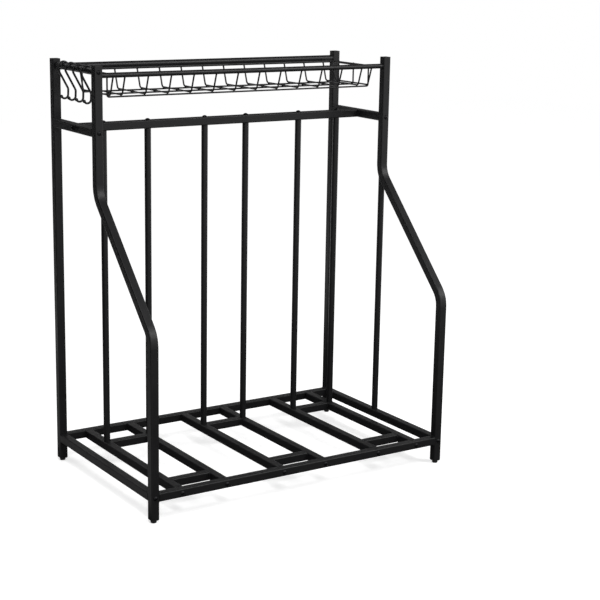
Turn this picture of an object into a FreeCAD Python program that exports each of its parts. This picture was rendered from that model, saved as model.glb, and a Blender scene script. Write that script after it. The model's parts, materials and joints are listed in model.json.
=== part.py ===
# Floor rack for three bicycles, in powder-coated steel tube. Sizes are in millimetres.
# +X points to the right and -Y to the front as seen by someone facing the rack, +Z points up.
# The origin lies on the floor under the middle of the rack.
import FreeCAD
import Part
import Sketcher
import math
import os

# Driving dimensions. Lengths are in millimetres, angles in degrees, counts are plain numbers.
SIZES = {
    # Frame tubes
    "frame_height": 1000,
    "post_spacing": 802,
    "base_depth": 490,
    "top_depth": 226,
    "tube_side": 20,
    "tube_wall": 1.2,
    "tube_corner": 2.5,
    "lower_bend_height": 430,
    "upper_bend_drop": 295,
    "bend_radius": 60,
    "base_rail_height": 60,
    "side_rail_drop": 152,
    "end_plug": 16,
    "weld_gap": 0.1,
    # Wheel slots
    "side_gap": 69,
    "slot_gap": 117,
    "rear_tie_setback": 2,
    "front_tie_setback": 66,
    "bar_diameter": 16,
    "bar_wall": 1.2,
    # Top rails and basket
    "rear_rail_drop": 19,
    "rear_rail_diameter": 16,
    "rim_drop": 23,
    "front_rail_diameter": 12,
    "rim_diameter": 6,
    "wire_diameter": 4,
    "basket_end_gap": 41,
    "basket_rear_gap": 50,
    "basket_taper": 16,
    "basket_depth": 47,
    "basket_bend": 8,
    "upright_bend": 5,
    "wire_toe": 10,
    "cross_wire_count": 12,
    "cross_wire_margin": 30,
    "long_wire_count": 3,
    "long_wire_margin": 6,
    # Hook bar and hooks
    "hook_bar_drop": 15,
    "hook_bar_diameter": 16,
    "hook_count": 4,
    "hook_rear_margin": 48,
    "hook_front_margin": 54,
    "hook_wire": 5,
    "hook_play": 0.3,
    "hook_loop": 23,
    "hook_mouth_angle": 10,
    "hook_lean": 31,
    "hook_reach": 13,
    "hook_drop": 66,
    "hook_bend": 12,
    "curl_radius": 9,
    "curl_angle": 150,
    "tip_diameter": 8,
    # Feet and caps
    "foot_height": 9,
    "collar_height": 3,
    "collar_chamfer": 2,
    "glide_diameter": 14,
    "glide_chamfer": 1,
    "foot_plug": 25,
    "cap_height": 2,
    "cap_edge": 0.8,
    "cap_plug": 5,
    "plug_play": 0.1,
    # Bolts
    "bolt_diameter": 6,
    "bolt_play": 0.15,
    "bolt_grip": 12,
    "head_diameter": 10.5,
    "head_height": 3.3,
    "head_rim": 0.6,
    "bar_head_diameter": 13,
    "bar_head_height": 4,
    "socket_size": 4,
    "socket_depth": 1.8,
}

doc = FreeCAD.newDocument("BikeRack")
sheet = doc.addObject("Spreadsheet::Sheet", "Sizes")
for row, (alias, size) in enumerate(SIZES.items(), start=1):
    sheet.set("A%d" % row, alias)
    sheet.set("B%d" % row, str(size))
    sheet.setAlias("B%d" % row, alias)
doc.recompute()


def named(expression):
    """Put the sheet's name before every size in an expression."""
    words = []
    word = ""
    for character in expression + " ":
        if character.isalnum() or character == "_":
            word += character
            continue
        words.append("Sizes." + word if word in SIZES else word)
        words.append(character)
        word = ""
    return "".join(words).strip()


def value(expression):
    """Work an expression out as a plain number."""
    result = sheet.evalExpression(named(expression))
    return float(getattr(result, "Value", result))


# Places in the frame, as expressions of the sizes
HALF_WIDTH = "(post_spacing / 2)"
HALF_TUBE = "(tube_side / 2)"
REAR = "(base_depth / 2)"
FRONT = "(-base_depth / 2)"
TOP_FRONT = "(base_depth / 2 - top_depth)"
BAR_PLANE = "(base_depth / 2 - top_depth / 2)"
INNER_WIDTH = "(post_spacing - tube_side)"
TUBE_TOP = "(frame_height - cap_height)"
SIDE_RAIL_Z = "(frame_height - side_rail_drop)"
REAR_RAIL_Z = "(frame_height - rear_rail_drop)"
RIM_Z = "(frame_height - rim_drop)"
HOOK_BAR_Z = "(frame_height - hook_bar_drop)"
RAIL_TOP = "(base_rail_height + tube_side / 2)"
BAR_LENGTH = "(frame_height - side_rail_drop - base_rail_height - tube_side)"
BORE_RADIUS = "(bolt_diameter / 2 + bolt_play)"
BENT_RUN = "(base_depth - top_depth)"
BENT_RISE = "(frame_height - upper_bend_drop - lower_bend_height)"
UPPER_BEND_Z = "(frame_height - upper_bend_drop)"
SLOT_SPACING = "((post_spacing - 2 * side_gap - slot_gap) / 2)"
BASKET_HALF = "(post_spacing / 2 - basket_end_gap)"
FLOOR_Z = "(frame_height - rim_drop - basket_depth)"
FLOOR_FRONT = "(base_depth / 2 - top_depth + basket_taper)"
FLOOR_REAR = "(base_depth / 2 - basket_rear_gap - basket_taper)"
UPRIGHT_OFFSET = "(rim_diameter / 2 + wire_diameter / 2 + weld_gap)"
LONG_WIRE_SPACING = ("((top_depth - basket_rear_gap - 2 * basket_taper - 2 * long_wire_margin)"
                     " / (long_wire_count - 1))")

# The six slats and bars stand at these places across the rack, two to a slot
SLOT_CENTRES = ["(-%s)" % SLOT_SPACING, "0", SLOT_SPACING]
BAR_PLACES = [centre + sign + "slot_gap / 2" for centre in SLOT_CENTRES for sign in (" - ", " + ")]

# Turns that bring a tube's own axis, its local Z, along the rack's X or Y
ALONG_X = FreeCAD.Rotation(FreeCAD.Vector(1, 1, 1), 120)
ALONG_Y = FreeCAD.Rotation(FreeCAD.Vector(-1, 0, 0), FreeCAD.Vector(0, 0, 1),
                           FreeCAD.Vector(0, 1, 0), "ZXY")
UPRIGHT = FreeCAD.Rotation()

nodes = []


def bind(feature, **properties):
    """Tie properties of a feature to expressions of the sizes."""
    for name, expression in properties.items():
        feature.setExpression(name, named(expression))


def place(feature, rotation, x="0", y="0", z="0"):
    """Turn a feature and tie its place to expressions."""
    feature.Placement = FreeCAD.Placement(FreeCAD.Vector(), rotation)
    for axis, expression in zip("xyz", (x, y, z)):
        if expression != "0":
            feature.setExpression("Placement.Base." + axis, named(expression))


def new_body(label, node=True):
    """Start a body, which is a node of the rack unless it is only a pattern for copies."""
    body = doc.addObject("PartDesign::Body", label)
    body.Label = label
    if node:
        nodes.append(body)
    return body


def origin_feature(body, role):
    """Find one of a body's own origin planes or axes."""
    return [feature for feature in body.Origin.OriginFeatures if feature.Role == role][0]


def sketch_on(body, role):
    """Start a sketch on one of a body's origin planes."""
    sketch = body.newObject("Sketcher::SketchObject", body.Label + "_sketch")
    sketch.AttachmentSupport = (origin_feature(body, role), [""])
    sketch.MapMode = "FlatFace"
    return sketch


def sketch_across(body, path):
    """Start a sketch square to the start of a path."""
    sketch = body.newObject("Sketcher::SketchObject", body.Label + "_section")
    sketch.AttachmentSupport = (path, ["Edge1"])
    sketch.MapMode = "NormalToEdge"
    sketch.MapPathParameter = 0
    return sketch


def constrain(sketch, *arguments):
    """Add a constraint without a size."""
    sketch.addConstraint(Sketcher.Constraint(*arguments))


def dimension(sketch, expression, kind, *arguments):
    """Add a constraint whose size is an expression."""
    index = sketch.addConstraint(Sketcher.Constraint(kind, *arguments, value(expression)))
    sketch.setExpression("Constraints[%d]" % index, named(expression))


def sketch_axis(name):
    """The number that a sketch gives to its own horizontal or vertical axis."""
    return -1 if name == "horizontal" else -2


def origin_point():
    """The numbers that a sketch gives to its own origin."""
    return sketch_axis("horizontal"), 1


def locate(sketch, element, point, x, y):
    """Fix a point of a sketch at a place measured from the sketch's origin."""
    for kind, axis, expression in (("DistanceX", "vertical", x), ("DistanceY", "horizontal", y)):
        if expression == "0":
            constrain(sketch, "PointOnObject", element, point, sketch_axis(axis))
        else:
            dimension(sketch, expression, kind, *origin_point(), element, point)


def vector(x, y):
    """A point in a sketch's plane."""
    return FreeCAD.Vector(x, y, 0)


def arc(centre, radius, start, end):
    """An arc from one angle to another, in radians and counter-clockwise."""
    return Part.ArcOfCircle(Part.Circle(centre, FreeCAD.Vector(0, 0, 1), radius), start, end)


def circle(sketch, diameter):
    """Draw a circle about the sketch's origin."""
    ring = Part.Circle(vector(0, 0), FreeCAD.Vector(0, 0, 1), value(diameter) / 2)
    index = sketch.addGeometry(ring, False)
    constrain(sketch, "Coincident", index, 3, *origin_point())
    dimension(sketch, diameter, "Diameter", index)


def rounded_square(sketch, side, corner):
    """Draw a square with rounded corners about the sketch's origin."""
    half = value(side) / 2
    radius = value(corner)
    flat = half - radius
    first = sketch.GeometryCount
    ends = [((-flat, -half), (flat, -half)), ((half, -flat), (half, flat)),
            ((flat, half), (-flat, half)), ((-half, flat), (-half, -flat))]
    centres = [(flat, -flat), (flat, flat), (-flat, flat), (-flat, -flat)]
    for start, end in ends:
        sketch.addGeometry(Part.LineSegment(vector(*start), vector(*end)), False)
    for turn, centre in enumerate(centres):
        start = (turn - 1) * math.pi / 2
        sketch.addGeometry(arc(vector(*centre), radius, start, start + math.pi / 2), False)
    for side_number in range(4):
        line = first + side_number
        rounding = first + 4 + side_number
        constrain(sketch, "Horizontal" if side_number % 2 == 0 else "Vertical", line)
        constrain(sketch, "Tangent", line, 2, rounding, 1)
        constrain(sketch, "Tangent", rounding, 2, first + (side_number + 1) % 4, 1)
    for rounding in range(first + 5, first + 8):
        constrain(sketch, "Equal", first + 4, rounding)
    constrain(sketch, "Symmetric", first, 1, first + 2, 1, *origin_point())
    dimension(sketch, corner, "Radius", first + 4)
    dimension(sketch, side, "DistanceX", first + 3, 1, first + 1, 1)
    dimension(sketch, side, "DistanceY", first, 1, first + 2, 1)


def bent_path(sketch, corners, radius):
    """Draw straight runs through the corners, joined by tangent arcs of one radius."""
    points = [vector(value(x), value(y)) for x, y in corners]
    count = len(points)
    setback = []
    for index in range(1, count - 1):
        turn = (points[index] - points[index - 1]).getAngle(points[index + 1] - points[index])
        setback.append(value(radius) * math.tan(turn / 2))
    trims = [0.0] + setback + [0.0]
    runs = []
    for index in range(count - 1):
        along = (points[index + 1] - points[index]).normalize()
        runs.append((points[index] + along * trims[index], points[index + 1] - along * trims[index + 1]))
    for start, end in runs:
        sketch.addGeometry(Part.LineSegment(start, end), False)
    for index in range(1, count - 1):
        draw_bend(sketch, index - 1, runs[index - 1], runs[index], radius, corners[index])
    locate(sketch, 0, 1, *corners[0])
    locate(sketch, count - 2, 2, *corners[-1])


def draw_bend(sketch, line, run, next_run, radius, corner):
    """Join a line of a sketch to the next one by a tangent arc about their corner."""
    along = (run[1] - run[0]).normalize()
    onward = (next_run[1] - next_run[0]).normalize()
    left = along.cross(onward).z > 0
    side = vector(-along.y, along.x) if left else vector(along.y, -along.x)
    centre = run[1] + side * value(radius)
    angles = [math.atan2(point.y - centre.y, point.x - centre.x) for point in (run[1], next_run[0])]
    start, end = angles if left else angles[::-1]
    bend = sketch.addGeometry(arc(centre, value(radius), start, end), False)
    constrain(sketch, "Tangent", line, 2, bend, 1 if left else 2)
    constrain(sketch, "Tangent", bend, 2 if left else 1, line + 1, 1)
    dimension(sketch, radius, "Radius", bend)
    mark = sketch.addGeometry(Part.Point(vector(value(corner[0]), value(corner[1]))), True)
    constrain(sketch, "PointOnObject", mark, 1, line)
    constrain(sketch, "PointOnObject", mark, 1, line + 1)
    locate(sketch, mark, 1, *corner)


def pad(body, profile, length):
    """Raise a sketch to a solid."""
    feature = body.newObject("PartDesign::Pad", body.Label + "_pad")
    feature.Profile = profile
    bind(feature, Length=length)
    return feature


def pipe(body, profile, path, kind="PartDesign::AdditivePipe"):
    """Run a section along a path."""
    doc.recompute()
    feature = body.newObject(kind, body.Label + "_pipe")
    feature.Profile = profile
    feature.Spine = (path, ["Edge%d" % number for number in range(1, len(path.Shape.Edges) + 1)])
    return feature


def wire(body, path, diameter):
    """Run a round section along a path."""
    doc.recompute()
    section = sketch_across(body, path)
    circle(section, diameter)
    return pipe(body, section, path)


TURNS = {"x": FreeCAD.Rotation(FreeCAD.Vector(0, 1, 0), 90),
         "y": FreeCAD.Rotation(FreeCAD.Vector(1, 0, 0), -90),
         "z": FreeCAD.Rotation()}


def bore(body, radius, length, axis, start):
    """Cut a round hole of some length along a body's local axis, from a start point."""
    feature = body.newObject("PartDesign::SubtractiveCylinder", body.Label + "_bore")
    bind(feature, Radius=radius, Height=length)
    place(feature, TURNS[axis], *start)
    return feature


def cross_hole(body, axis, z):
    """Drill a bolt's hole right through a tube, square to its axis."""
    start = {"x": ("-tube_side", "0", z), "y": ("0", "-tube_side", z)}[axis]
    return bore(body, BORE_RADIUS, "2 * tube_side", axis, start)


def open_tube(label, length):
    """A square tube open at both ends, standing on its local origin."""
    body = new_body(label)
    profile = sketch_on(body, "XY_Plane")
    rounded_square(profile, "tube_side", "tube_corner")
    rounded_square(profile, "tube_side - 2 * tube_wall", "tube_corner - tube_wall")
    pad(body, profile, length)
    return body


def closed_tube(label, length):
    """A square tube whose ends are closed and tapped for a bolt."""
    body = new_body(label)
    profile = sketch_on(body, "XY_Plane")
    rounded_square(profile, "tube_side", "tube_corner")
    pad(body, profile, length)
    doc.recompute()
    hollow = body.newObject("PartDesign::SubtractiveBox", label + "_hollow")
    bind(hollow, Length="tube_side - 2 * tube_wall", Width="tube_side - 2 * tube_wall",
         Height="%s - 2 * end_plug" % length)
    place(hollow, UPRIGHT, "tube_wall - tube_side / 2", "tube_wall - tube_side / 2", "end_plug")
    bore(body, BORE_RADIUS, length, "z", ("0", "0", "0"))
    return body


def round_bar(label, diameter, length, tapped=True):
    """A round tube with closed ends, tapped for a bolt where one holds it."""
    body = new_body(label)
    profile = sketch_on(body, "XY_Plane")
    circle(profile, diameter)
    pad(body, profile, length)
    doc.recompute()
    bore(body, "%s / 2 - bar_wall" % diameter, "%s - 2 * end_plug" % length, "z", ("0", "0", "end_plug"))
    if tapped:
        bore(body, BORE_RADIUS, length, "z", ("0", "0", "0"))
    return body


def rear_post(side, sign, bolt_heights):
    """A straight rear post with the holes of the bolts that come in from behind."""
    body = open_tube("rear_post_" + side, "%s - foot_height" % TUBE_TOP)
    for height in bolt_heights:
        cross_hole(body, "y", height + " - foot_height")
    place(body, UPRIGHT, sign + HALF_WIDTH, REAR, "foot_height")


def front_leg(side, sign, bolt_heights):
    """A front leg bent back to the narrower top of the rack."""
    body = new_body("front_leg_" + side)
    path = sketch_on(body, "YZ_Plane")
    bent_path(path, [("0", "0"), ("0", "lower_bend_height - foot_height"),
                     (BENT_RUN, UPPER_BEND_Z + " - foot_height"), (BENT_RUN, TUBE_TOP + " - foot_height")],
              "bend_radius")
    outer = sketch_on(body, "XY_Plane")
    rounded_square(outer, "tube_side", "tube_corner")
    pipe(body, outer, path)
    inner = sketch_on(body, "XY_Plane")
    rounded_square(inner, "tube_side - 2 * tube_wall", "tube_corner - tube_wall")
    pipe(body, inner, path, "PartDesign::SubtractivePipe")
    cross_hole(body, "y", "base_rail_height - foot_height")
    for height in bolt_heights:
        start = ("0", BENT_RUN + " - tube_side", height + " - foot_height")
        bore(body, BORE_RADIUS, "2 * tube_side", "y", start)
    place(body, UPRIGHT, sign + HALF_WIDTH, FRONT, "foot_height")


def base_rail(label, y):
    """A rail across the base, drilled for the slats' bolts."""
    body = open_tube(label, INNER_WIDTH)
    for x in BAR_PLACES:
        cross_hole(body, "x", "%s + %s" % (x, INNER_WIDTH + " / 2"))
    place(body, ALONG_X, "-%s / 2" % INNER_WIDTH, y, "base_rail_height")


def base_side_rail(side, sign):
    """A rail along the side of the base; the stay bar's screw passes through the right one."""
    body = closed_tube("base_side_rail_" + side, "(base_depth - tube_side)")
    if side == "right":
        cross_hole(body, "y", "base_depth - top_depth - tube_side / 2")
    place(body, ALONG_Y, sign + HALF_WIDTH, "%s + %s" % (FRONT, HALF_TUBE), "base_rail_height")


def upper_side_rail(side, sign):
    """A rail along the upper side, drilled for the bolt of the bar rail."""
    body = closed_tube("upper_side_rail_" + side, "(top_depth - tube_side)")
    cross_hole(body, "x", "(top_depth - tube_side) / 2")
    place(body, ALONG_Y, sign + HALF_WIDTH, "%s + %s" % (TOP_FRONT, HALF_TUBE), SIDE_RAIL_Z)


def wheel_slat(number, x):
    """A slat along the base, drilled for the screw of the bar that stands on it."""
    body = closed_tube("wheel_slat_%d" % number, "(base_depth - tube_side)")
    cross_hole(body, "y", "base_depth - top_depth / 2 - tube_side / 2")
    place(body, ALONG_Y, x, "%s + %s" % (FRONT, HALF_TUBE), "base_rail_height")


def slat_tie(label, centre, y):
    """A short tie welded between the two slats of a slot."""
    body = open_tube(label, "(slot_gap - tube_side)")
    place(body, ALONG_X, "%s - (slot_gap - tube_side) / 2" % centre, y, "base_rail_height")


def bar_rail():
    """The rail that holds the tops of the wheel bars."""
    body = closed_tube("bar_rail", INNER_WIDTH)
    for x in BAR_PLACES:
        cross_hole(body, "y", "%s + %s" % (x, INNER_WIDTH + " / 2"))
    place(body, ALONG_X, "-%s / 2" % INNER_WIDTH, BAR_PLANE, SIDE_RAIL_Z)


def right_stay_bar():
    """The stay bar under the bend of the right leg, coped to the underside of the bend."""
    bend_z = "(%s + bend_radius * tan(atan(%s / %s) / 2))" % (UPPER_BEND_Z, BENT_RUN, BENT_RISE)
    length = "(%s - %s)" % (bend_z, RAIL_TOP)
    body = new_body("right_stay_bar")
    profile = sketch_on(body, "XY_Plane")
    circle(profile, "bar_diameter")
    pad(body, profile, length)
    doc.recompute()
    bore(body, "bar_diameter / 2 - bar_wall", length, "z", ("0", "0", "end_plug"))
    bore(body, BORE_RADIUS, "end_plug", "z", ("0", "0", "0"))
    bore(body, "bend_radius + tube_side / 2 + weld_gap", "2 * tube_side", "x",
         ("-tube_side", "-bend_radius", length))
    place(body, UPRIGHT, HALF_WIDTH, TOP_FRONT, RAIL_TOP)


def dress(body, kind, edges, **size):
    """Chamfer or round some edges of a body's last feature."""
    base = body.Tip
    feature = body.newObject(kind, body.Label + "_edges")
    feature.Base = (base, edges)
    bind(feature, **size)
    doc.recompute()


def foot(label, x, y):
    """A foot: a plug in the tube's end, a chamfered collar and a round glide."""
    body = new_body(label)
    glide = sketch_on(body, "XY_Plane")
    circle(glide, "glide_diameter")
    pad(body, glide, "foot_height")
    doc.recompute()
    dress(body, "PartDesign::Chamfer", edges_at(body.Shape, 0), Size="glide_chamfer")
    collar = sketch_at(body, "foot_height - collar_height")
    rounded_square(collar, "tube_side", "tube_corner")
    pad(body, collar, "collar_height")
    doc.recompute()
    rim = outer_edges_at(body.Shape, value("foot_height - collar_height"))
    dress(body, "PartDesign::Chamfer", rim, Size="collar_chamfer")
    plug = sketch_at(body, "foot_height")
    rounded_square(plug, "tube_side - 2 * tube_wall - 2 * plug_play", "tube_corner - tube_wall")
    pad(body, plug, "foot_plug")
    place(body, UPRIGHT, x, y)


def sketch_at(body, height):
    """Start a sketch on a plane at some height above a body's base."""
    sketch = sketch_on(body, "XY_Plane")
    sketch.setExpression("AttachmentOffset.Base.z", named(height))
    return sketch


def edges_at(shape, height):
    """Names of the edges that lie at one height."""
    names = []
    for number, edge in enumerate(shape.Edges, start=1):
        if abs(edge.BoundBox.ZMin - height) < 1e-4 and abs(edge.BoundBox.ZMax - height) < 1e-4:
            names.append("Edge%d" % number)
    return names


def outer_edges_at(shape, height):
    """Names of the edges at one height that lie outside the round glide."""
    reach = value("glide_diameter") / 2 + 1e-3
    names = []
    for name in edges_at(shape, height):
        points = shape.getElement(name).discretize(3)
        if max(math.hypot(point.x, point.y) for point in points) > reach:
            names.append(name)
    return names


def top_cap(label, x, y):
    """A flat cap on a tube's top, with a plug that holds it."""
    body = new_body(label)
    plug = sketch_on(body, "XY_Plane")
    rounded_square(plug, "tube_side - 2 * tube_wall - 2 * plug_play", "tube_corner - tube_wall")
    pad(body, plug, "cap_plug")
    head = sketch_at(body, "cap_plug")
    rounded_square(head, "tube_side", "tube_corner")
    pad(body, head, "cap_height")
    doc.recompute()
    rim = edges_at(body.Shape, value("cap_plug + cap_height"))
    dress(body, "PartDesign::Fillet", rim, Radius="cap_edge")
    place(body, UPRIGHT, x, y, "%s - cap_plug" % TUBE_TOP)


def spread(body, feature, axis, count, spacing):
    """Repeat a feature along one of a body's axes."""
    doc.recompute()
    pattern = body.newObject("PartDesign::LinearPattern", body.Label + "_row")
    pattern.Originals = [feature]
    pattern.Direction = (origin_feature(body, axis), [""])
    pattern.Mode = "Spacing"
    bind(pattern, Offset=spacing, Occurrences=count)
    body.Tip = pattern


CROSS_SPACING = "((2 * %s - 2 * cross_wire_margin) / (cross_wire_count - 1))" % BASKET_HALF
FIRST_CROSS = "(cross_wire_margin - %s)" % BASKET_HALF
SLANT = "(sqrt(basket_taper ^ 2 + basket_depth ^ 2))"


def wall_path(body, sign, end_radius):
    """The path of a wall wire, from its toe on the floor round the bend and up to the rail or rim."""
    path = sketch_on(body, "YZ_Plane")
    share = "(1 - (%s + weld_gap) / %s)" % (end_radius, SLANT)
    top = "%s(wire_toe + basket_taper * %s)" % (sign, share)
    bent_path(path, [("0", "0"), (sign + "wire_toe", "0"), (top, "basket_depth * " + share)], "basket_bend")
    return path


def basket_wall(label, sign, y, end_radius):
    """The row of slanted wires of one long wall of the basket."""
    body = new_body(label)
    upright = wire(body, wall_path(body, sign, end_radius), "wire_diameter")
    spread(body, upright, "X_Axis", "cross_wire_count", CROSS_SPACING)
    place(body, UPRIGHT, FIRST_CROSS, y, FLOOR_Z)


def floor_wires(label, role, length, axis, count, spacing, position):
    """A row of straight wires of the basket's floor."""
    body = new_body(label)
    profile = sketch_on(body, role)
    circle(profile, "wire_diameter")
    straight = pad(body, profile, length)
    if role == "XZ_Plane":
        straight.Reversed = True
    spread(body, straight, axis, count, spacing)
    place(body, UPRIGHT, *position)


def basket_end(side, sign):
    """One end of the basket: a wire bent up at both walls, and uprights bent up from the long wires."""
    body = new_body("basket_end_" + side)
    end_tilt = "wire_diameter / 2 * basket_taper / %s" % SLANT
    rear_share = "(1 - (rim_diameter / 2 + %s + weld_gap) / basket_depth)" % end_tilt
    front_share = "(1 - (front_rail_diameter / 2 + weld_gap) / %s)" % SLANT
    frame = sketch_on(body, "YZ_Plane")
    front_top = ("%s - basket_taper * %s" % (FLOOR_FRONT, front_share), "basket_depth * " + front_share)
    rear_top = ("%s + basket_taper * %s" % (FLOOR_REAR, rear_share), "basket_depth * " + rear_share)
    bent_path(frame, [front_top, (FLOOR_FRONT, "0"), (FLOOR_REAR, "0"), rear_top], "basket_bend")
    wire(body, frame, "wire_diameter")
    turned = sketch_on(body, "XZ_Plane")
    turned.setExpression("AttachmentOffset.Base.z", named("-(%s + long_wire_margin)" % FLOOR_FRONT))
    low = "-(wire_diameter + weld_gap)"
    inward = "%s(%s - upright_bend)" % (sign, UPRIGHT_OFFSET)
    outward = sign + UPRIGHT_OFFSET
    bent_path(turned, [(inward + " - (%s1) * wire_toe" % sign, low), (outward, low),
                       (outward, "basket_depth + rim_diameter / 2")], "upright_bend")
    upright = wire(body, turned, "wire_diameter")
    spread(body, upright, "Y_Axis", "long_wire_count", LONG_WIRE_SPACING)
    place(body, UPRIGHT, sign + BASKET_HALF, "0", FLOOR_Z)


def basket_rim():
    """The basket's rim: a rear rod between two end rods that reach from the front rail to the rear rail."""
    rod_radius = "rim_diameter / 2"
    rear = new_body("basket_rim_rear")
    length = "(2 * %s - rim_diameter - 2 * weld_gap)" % BASKET_HALF
    rod(rear, rod_radius, length)
    place(rear, ALONG_X, "-%s / 2" % length, "%s - basket_rear_gap" % REAR, RIM_Z)
    reach = "(top_depth - front_rail_diameter / 2 - rear_rail_diameter / 2 - 2 * weld_gap)"
    for side, sign in (("left", "-"), ("right", "")):
        end = new_body("basket_rim_" + side)
        rod(end, rod_radius, reach)
        start = "%s + front_rail_diameter / 2 + weld_gap" % TOP_FRONT
        place(end, ALONG_Y, sign + BASKET_HALF, start, RIM_Z)


def rod(body, radius, length):
    """A solid round rod along a body's local Z."""
    feature = body.newObject("PartDesign::AdditiveCylinder", body.Label + "_rod")
    bind(feature, Radius=radius, Height=length)


TIP_X = "(hook_reach - curl_radius + curl_radius * cos(curl_angle * 1 deg))"


def hook_path(body):
    """A hook's path: a wide loop that lies on the bar, a leaning shank, a bend and the curl below."""
    path = sketch_on(body, "XZ_Plane")
    loop_radius = "(hook_loop / 2 + hook_wire / 2)"
    loop_sag = "(hook_loop / 2 - hook_bar_diameter / 2 - hook_play)"
    loop, sag = value(loop_radius), value(loop_sag)
    lean = math.radians(value("hook_lean"))
    reach, drop = value("hook_reach"), value("hook_drop")
    bend, curl = value("hook_bend"), value("curl_radius")
    leave = vector(-loop * math.cos(lean), -sag - loop * math.sin(lean))
    bend_start_x = reach - bend * (1 - math.cos(lean))
    shank = (bend_start_x - leave.x) / math.sin(lean)
    bend_start = leave + vector(math.sin(lean), -math.cos(lean)) * shank
    bend_centre = vector(reach - bend, bend_start.y - bend * math.sin(lean))
    mouth = math.radians(value("hook_mouth_angle"))
    path.addGeometry(arc(vector(0, -sag), loop, mouth, math.pi + lean), False)
    path.addGeometry(Part.LineSegment(leave, bend_start), False)
    path.addGeometry(arc(bend_centre, bend, 0, lean), False)
    path.addGeometry(Part.LineSegment(vector(reach, bend_centre.y), vector(reach, -drop)), False)
    path.addGeometry(arc(vector(reach - curl, -drop), curl, -math.radians(value("curl_angle")), 0), False)
    locate(path, 0, 3, "0", "-" + loop_sag)
    constrain(path, "Tangent", 0, 2, 1, 1)
    constrain(path, "Tangent", 1, 2, 2, 2)
    constrain(path, "Tangent", 2, 1, 3, 1)
    constrain(path, "Tangent", 3, 2, 4, 2)
    constrain(path, "Vertical", 3)
    dimension(path, loop_radius, "Radius", 0)
    dimension(path, "hook_bend", "Radius", 2)
    dimension(path, "curl_radius", "Radius", 4)
    dimension(path, loop_radius + " * sin(hook_mouth_angle * 1 deg)", "DistanceY", 0, 3, 0, 1)
    dimension(path, loop_radius + " * cos(hook_lean * 1 deg)", "DistanceX", 0, 2, 0, 3)
    locate(path, 3, 2, "hook_reach", "-hook_drop")
    dimension(path, TIP_X, "DistanceX", *origin_point(), 4, 1)
    return path


def s_hook(number):
    """A hook that hangs free on the hook bar, with its weight straight below the bar."""
    body = new_body("s_hook_%d" % number)
    wire(body, hook_path(body), "hook_wire")
    tip = body.newObject("PartDesign::AdditiveSphere", "s_hook_tip")
    bind(tip, Radius="tip_diameter / 2")
    facing = FreeCAD.Rotation(FreeCAD.Vector(0, 1, 0), value("curl_angle") - 180)
    place(tip, facing, TIP_X, "0", "-hook_drop - curl_radius * sin(curl_angle * 1 deg)")
    doc.recompute()
    weight = body.Shape.Solids[0].CenterOfMass
    swing = FreeCAD.Rotation(FreeCAD.Vector(0, 1, 0), math.degrees(math.atan2(weight.x, -weight.z)))
    spacing = "(top_depth - hook_rear_margin - hook_front_margin) / (hook_count - 1)"
    y = "%s - hook_rear_margin - %d * %s" % (REAR, number - 1, spacing)
    place(body, swing, "-" + HALF_WIDTH, y, HOOK_BAR_Z)


def bolt(label, head_diameter, head_height, shank):
    """A button-head bolt along its local Z, with its head above the origin and its shank below."""
    body = new_body(label, node=False)
    section = sketch_on(body, "XZ_Plane")
    head, height, rim = value(head_diameter) / 2, value(head_height), value("head_rim")
    crown = (head ** 2 + (height - rim) ** 2) / (2 * (height - rim))
    radius, length = value("bolt_diameter") / 2, value(shank)
    corners = [(0, height), (0, -length), (radius, -length), (radius, 0), (head, 0), (head, rim)]
    for start, end in zip(corners, corners[1:]):
        section.addGeometry(Part.LineSegment(vector(*start), vector(*end)), False)
    lift = math.atan2(rim - (height - crown), head)
    dome = section.addGeometry(arc(vector(0, height - crown), crown, lift, math.pi / 2), False)
    for line in range(4):
        constrain(section, "Coincident", line, 2, line + 1, 1)
    constrain(section, "Coincident", 4, 2, dome, 1)
    constrain(section, "Coincident", 0, 1, dome, 2)
    constrain(section, "PointOnObject", dome, 3, sketch_axis("vertical"))
    for line, direction in enumerate(("Vertical", "Horizontal", "Vertical", "Horizontal", "Vertical")):
        constrain(section, direction, line)
    locate(section, 0, 1, "0", head_height)
    locate(section, 2, 1, "bolt_diameter / 2", "-" + shank)
    locate(section, 4, 1, head_diameter + " / 2", "0")
    dimension(section, "head_rim", "DistanceY", *origin_point(), dome, 1)
    turned = body.newObject("PartDesign::Revolution", label + "_turned")
    turned.Profile = section
    turned.ReferenceAxis = (section, ["V_Axis"])
    turned.Angle = 360
    doc.recompute()
    socket = body.newObject("PartDesign::SubtractivePrism", label + "_socket")
    socket.Polygon = 6
    bind(socket, Circumradius="socket_size / sqrt(3)", Height="socket_depth")
    place(socket, UPRIGHT, "0", "0", head_height + " - socket_depth")
    doc.recompute()
    return body


# Turns that point a bolt's head to the front, the back, a side, up or down
FACING = {"front": FreeCAD.Rotation(FreeCAD.Vector(1, 0, 0), 90),
          "rear": FreeCAD.Rotation(FreeCAD.Vector(1, 0, 0), -90),
          "left": FreeCAD.Rotation(FreeCAD.Vector(0, 1, 0), -90),
          "right": FreeCAD.Rotation(FreeCAD.Vector(0, 1, 0), 90),
          "up": FreeCAD.Rotation(),
          "down": FreeCAD.Rotation(FreeCAD.Vector(1, 0, 0), 180)}


def bolt_group(label, pattern, seats):
    """A group of equal bolts, one for each seat: the way it faces and the place under its head."""
    copies = []
    for facing, x, y, z in seats:
        seat = FreeCAD.Vector(value(x), value(y), value(z))
        copies.append(pattern.Shape.transformed(FreeCAD.Placement(seat, FACING[facing]).toMatrix(), True))
    group = doc.addObject("Part::Feature", label)
    group.Label = label
    group.Shape = Part.makeCompound(copies)
    nodes.append(group)


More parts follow.
